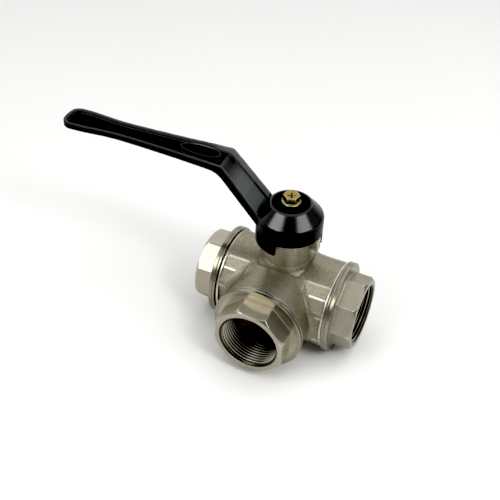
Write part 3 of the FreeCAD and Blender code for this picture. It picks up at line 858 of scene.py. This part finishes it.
def lever_solid(x, y, z):
    r, ay = np.hypot(x, y), np.abs(y)
    plan = PLAN(x, ay)
    arm = meet_round(SIDE(x, z), plan, 0.75)
    trough = meet_round(SIDE_FLOOR(x, z), plan + RIM, 0.7)
    arm = carve(arm, trough, 0.42)
    pad = meet_round(PAD(x, y + 1.0), PAD_SIDE(x, z), 0.35)
    arm = join_round(arm, meet(pad, SIDE(x, z)), 0.35)
    # hub with a conical shoulder
    hub = meet_round(r - HUB_RADIUS, (r - 22.17) * 0.7331 + (z - 67.65) * 0.68, 1.0)
    hub = meet_round(hub, z - HUB_TOP, 1.1)
    hub = meet_round(hub, HUB_BOTTOM - z, 0.4)
    # long part of the skirt, open where it meets the travel stop
    c, s = math.cos(SKIRT_GAP_AT), math.sin(SKIRT_GAP_AT)
    along, across = x * c + y * s, np.abs(-x * s + y * c)
    gap = across * math.cos(SKIRT_GAP_HALF) - along * math.sin(SKIRT_GAP_HALF)
    skirt = meet_round(meet_round(r - HUB_RADIUS, SKIRT_INNER - r, 0.4),
                       meet_round(SKIRT_BOTTOM - z, z - 58.0, 0.4), 0.4)
    skirt = carve(skirt, gap, 0.5)
    out = join(join_round(arm, hub, 0.5), skirt)
    # the trough runs a little way into the hub
    out = carve(out, meet(meet_round(trough, 20.9 - x, 0.3), x - 30.0), 0.3)
    out = carve(out, HOLLOW(r, z), 0.3)
    # square socket, with a round hole through the top
    hole = join(meet(np.abs(x) - 4.95, ay - 4.95, z - 74.2), r - 3.2)
    return carve(out, meet(hole, 60.0 - z), 0.15)


def make_lever():
    verts, quads, normals = contour(lever_solid, (-24.2, -24.2, 45.2), (166, 24.2, 106.5),
                                    0.55 if FINE else 0.9)
    x, y, z = verts.T
    inset, above_floor = PLAN(x, np.abs(y)) + RIM, SIDE_FLOOR(x, z)
    # surface of the trough
    trough = np.clip(1 - np.maximum(np.abs(above_floor), inset) / 0.5, 0, 1) * (z > 60)
    # painted highlight on one part of the pad's rim, on its -Y side
    worn = np.clip(1.5 - 2.2 * np.abs(PAD(x, y + 1.0)), 0, 1) * (y < -1.6) * (z > 96.8)
    worn *= np.clip((x - 55) / 4, 0, 1) * np.clip((74 - x) / 4, 0, 1)
    # painted light on the inner faces of the trough's walls, fading along the arm
    wall = np.clip(1.6 - 2 * np.maximum(np.abs(inset), above_floor + 0.7), 0, 1)
    wall *= (x > 19.0) * np.clip((60 - x) / 8 + 0.35, 0.35, 1)
    c, s = math.cos(LEVER_TURN), math.sin(LEVER_TURN)
    turn = np.array([[c, -s, 0], [s, c, 0], [0, 0, 1]])
    bend = soften(crease(lever_solid, verts, normals), quads, 1)
    piece("lever_casting", "lever_handle", "handle", "lever_black", LEVER, verts @ turn.T,
          quads, normals @ turn.T, bend=bend, trough=trough, worn=worn, wall=wall)


make_lever()


# ----------------------------------------------------------------- lever bolt
BOLT_TOP = 82.6
BOLT_TURN = math.radians(20.0)
FLANGE_RADIUS, FLANGE_BOTTOM, FLANGE_TOP = 6.5, 76.73, 78.3
HEX_HALF = 5.0                          # centre to flat
SHANK_RADIUS, SHANK_END = 2.45, 60.0
DISH_RADIUS, DISH_RISE = 9.0, 8.0       # sphere hollowing the head; centre above it
SLOT_HALF_LENGTH, SLOT_HALF_WIDTH, SLOT_DEPTH = 2.9, 0.62, 3.2


def bolt_solid(x, y, z):
    r = np.hypot(x, y)
    out = meet_round(meet_round(r - FLANGE_RADIUS, FLANGE_BOTTOM - z, 0.3), z - FLANGE_TOP, 0.2)
    out = meet_round(out, (r - FLANGE_RADIUS) * 0.474 + (z - 77.6) * 0.8805, 0.25)
    head = np.full(x.shape, -99.0)
    for k in range(3):
        a = BOLT_TURN + math.radians(30 + 60 * k)
        head = meet_soft(head, np.abs(x * math.cos(a) + y * math.sin(a)) - HEX_HALF, 0.35)
    head = meet_round(head, z - BOLT_TOP, 0.15)
    head = meet_round(head, (r - 4.75) * 0.36 + (z - BOLT_TOP) * 0.933, 0.2)
    out = join_round(out, meet(head, 77.0 - z), 0.25)
    shank = meet_round(r - SHANK_RADIUS, SHANK_END - z, 0.5)
    out = join(out, meet(shank, z - 78.0))
    dish = np.sqrt(x * x + y * y + (z - (BOLT_TOP + DISH_RISE)) ** 2) - DISH_RADIUS
    out = carve(out, dish, 0.2)
    # cross recess
    for k in range(2):
        a = BOLT_TURN + math.radians(90 * k)
        along = x * math.cos(a) + y * math.sin(a)
        across = -x * math.sin(a) + y * math.cos(a)
        slot = meet(np.abs(along) - SLOT_HALF_LENGTH, np.abs(across) - SLOT_HALF_WIDTH,
                    BOLT_TOP - SLOT_DEPTH - z)
        out = carve(out, slot, 0.15)
    return out


verts, quads, normals = contour(bolt_solid, (-7, -7, 59.6), (7, 7, 83.2), 0.16 if FINE else 0.3)
piece("lever_bolt", "handle_bolt", "handle", "bolt_zinc", BOLT, verts, quads, normals,
      bend=crease(bolt_solid, verts, normals, reach=0.2))


# ---------------------------------------------------------------------- stage
def floor():
    """White floor, 6 m square, that looks darker in reflections."""
    n = Material("floor_white")
    soft = n.noise(scale=3.0, detail=3, rough=0.5)
    grain = n.noise(scale=900, detail=2, rough=0.5)
    tone = n.mix((0.86, 0.86, 0.845), (0.885, 0.885, 0.872), n.ramp(soft, over=(0.3, 0.7)))
    # painted shade: the floor's colour is darker for glossy rays, so its reflections look shaded
    mirrored = n.add("ShaderNodeLightPath").outputs["Is Glossy Ray"]
    n.finish(Base_Color=n.mix(tone, (0.62, 0.62, 0.605), mirrored), Roughness=0.62,
             Normal=n.bump(grain, distance=0.00003, strength=0.3), Specular_IOR_Level=0.35)
    half, cells = 3.0, 24
    line = np.linspace(-half, half, cells + 1) * 1000
    x, y = np.meshgrid(line, line, indexing="ij")
    verts = np.stack([x.ravel(), y.ravel(), np.full(x.size, -COLLAR_RADIUS)], 1)
    i, j = np.meshgrid(np.arange(cells), np.arange(cells), indexing="ij")
    k = cells + 1
    corners = [i * k + j, (i + 1) * k + j, (i + 1) * k + j + 1, i * k + j + 1]
    ob = mesh_object("floor", verts, np.stack(corners, -1).reshape(-1, 4))
    ob.data.materials.append(n.mat)


def panel(name, direction, distance, size, energy, glossy=True):
    """Area light facing a point 30 mm above the ball; sizes in metres."""
    d = np.array(direction, float)
    d /= np.linalg.norm(d)
    light = bpy.data.lights.new(name, "AREA")
    light.shape = "RECTANGLE"
    light.size, light.size_y = size
    light.energy = energy
    ob = bpy.data.objects.new(name, light)
    place = (np.array([0, 0, 30.0]) + SHIFT) / 1000.0 + d * distance
    up = np.array([0.0, 0.0, 1.0]) if abs(d[2]) < 0.95 else np.array([0.0, 1.0, 0.0])
    x = np.cross(up, d)
    x /= np.linalg.norm(x)
    columns = np.column_stack((x, np.cross(d, x), d, place))
    ob.matrix_world = Matrix([*columns.tolist(), [0, 0, 0, 1]])
    bpy.context.scene.collection.objects.link(ob)
    ob.visible_glossy = glossy


def studio():
    """Bright backdrop low down behind the valve (+Y), dim room on the camera's
    side, a soft ceiling, and a plain wall seen by the camera alone."""
    world = bpy.data.worlds.new("studio")
    bpy.context.scene.world = world
    n = Tree(world)

    def grey_ramp(value, stops):
        """Greys as (position, level), stored at half for a strength of 2."""
        node = n.add("ShaderNodeValToRGB", value)
        elements = node.color_ramp.elements
        while len(elements) < len(stops):
            elements.new(0.5)
        for element, (position, level) in zip(elements, stops):
            element.position = position
            element.color = (level / 2, level / 2, level / 2, 1)
        return node.outputs[0]

    def facing(direction):
        return n.add("ShaderNodeVectorMath", sky, direction,
                     operation="DOT_PRODUCT").outputs["Value"]

    sky = n.add("ShaderNodeTexCoord").outputs["Generated"]
    back = n.ramp(facing((-0.18, 0.98, 0.0)), over=(-0.35, 0.45), shape="SMOOTHSTEP")
    up = n.add("ShaderNodeSeparateXYZ", sky).outputs[2]
    behind = grey_ramp(up, ((0.0, 0.50), (0.20, 0.75), (0.38, 1.12), (0.52, 0.98),
                            (0.64, 0.72), (0.90, 1.00)))
    front = grey_ramp(up, ((0.0, 0.40), (0.20, 0.25), (0.40, 0.12), (0.70, 0.12),
                           (0.84, 0.30), (0.93, 0.60)))
    both = n.mix(front, behind, back)
    # dark card behind and to the right; the whole room lights diffusely at 0.4
    card = n.ramp(facing((0.724, 0.603, 0.332)), over=(0.84, 0.93), to=(2.0, 0.5),
                  shape="SMOOTHSTEP")
    path = n.add("ShaderNodeLightPath").outputs
    dim = n.ramp(path["Is Diffuse Ray"], over=(0.0, 1.0), to=(1.0, 0.4))
    room = n.add("ShaderNodeBackground", both, n.times(card, dim))
    wall_grey = grey_ramp(up, ((0.0, 0.37), (0.07, 0.44), (0.20, 0.62), (0.50, 0.86)))
    wall = n.add("ShaderNodeBackground", wall_grey, 2.0)
    shown = n.add("ShaderNodeMixShader", path["Is Camera Ray"], room.outputs[0], wall.outputs[0])
    n.add("ShaderNodeOutputWorld", shown.outputs[0])


def camera():
    """Camera to the front right, looking down on the valve."""
    data = bpy.data.cameras.new("camera")
    data.sensor_width = 36.0
    data.lens = 59.17
    ob = bpy.data.objects.new("camera", data)
    bpy.context.scene.collection.objects.link(ob)
    # columns: right, up, backwards, place in metres
    ob.matrix_world = Matrix([[0.90220, -0.30098, 0.30894, 0.15209],
                              [0.43018, 0.57587, -0.69521, -0.34646],
                              [0.03133, 0.76011, 0.64903, 0.40270],
                              [0, 0, 0, 1]])
    bpy.context.scene.camera = ob


floor()
panel("panel_left", direction=(-0.42, -0.62, 0.70), distance=1.5, size=(0.92, 0.62), energy=6.6)
panel("panel_right", direction=(0.74, -0.13, 0.64), distance=1.5, size=(1.00, 0.50), energy=4.9)
panel("overhead", direction=(0.10, 0.02, 1.0), distance=1.8, size=(2.2, 2.2), energy=28.0,
      glossy=False)
panel("key", direction=(0.82, -0.40, 1.0), distance=1.6, size=(0.34, 0.34), energy=5.8,
      glossy=False)
studio()
camera()

view = bpy.context.scene.view_settings
view.view_transform = "Standard"
view.use_curve_mapping = True
view.curve_mapping.black_level = (0.023, 0.023, 0.023)     # deepens the shadows
view.curve_mapping.update()
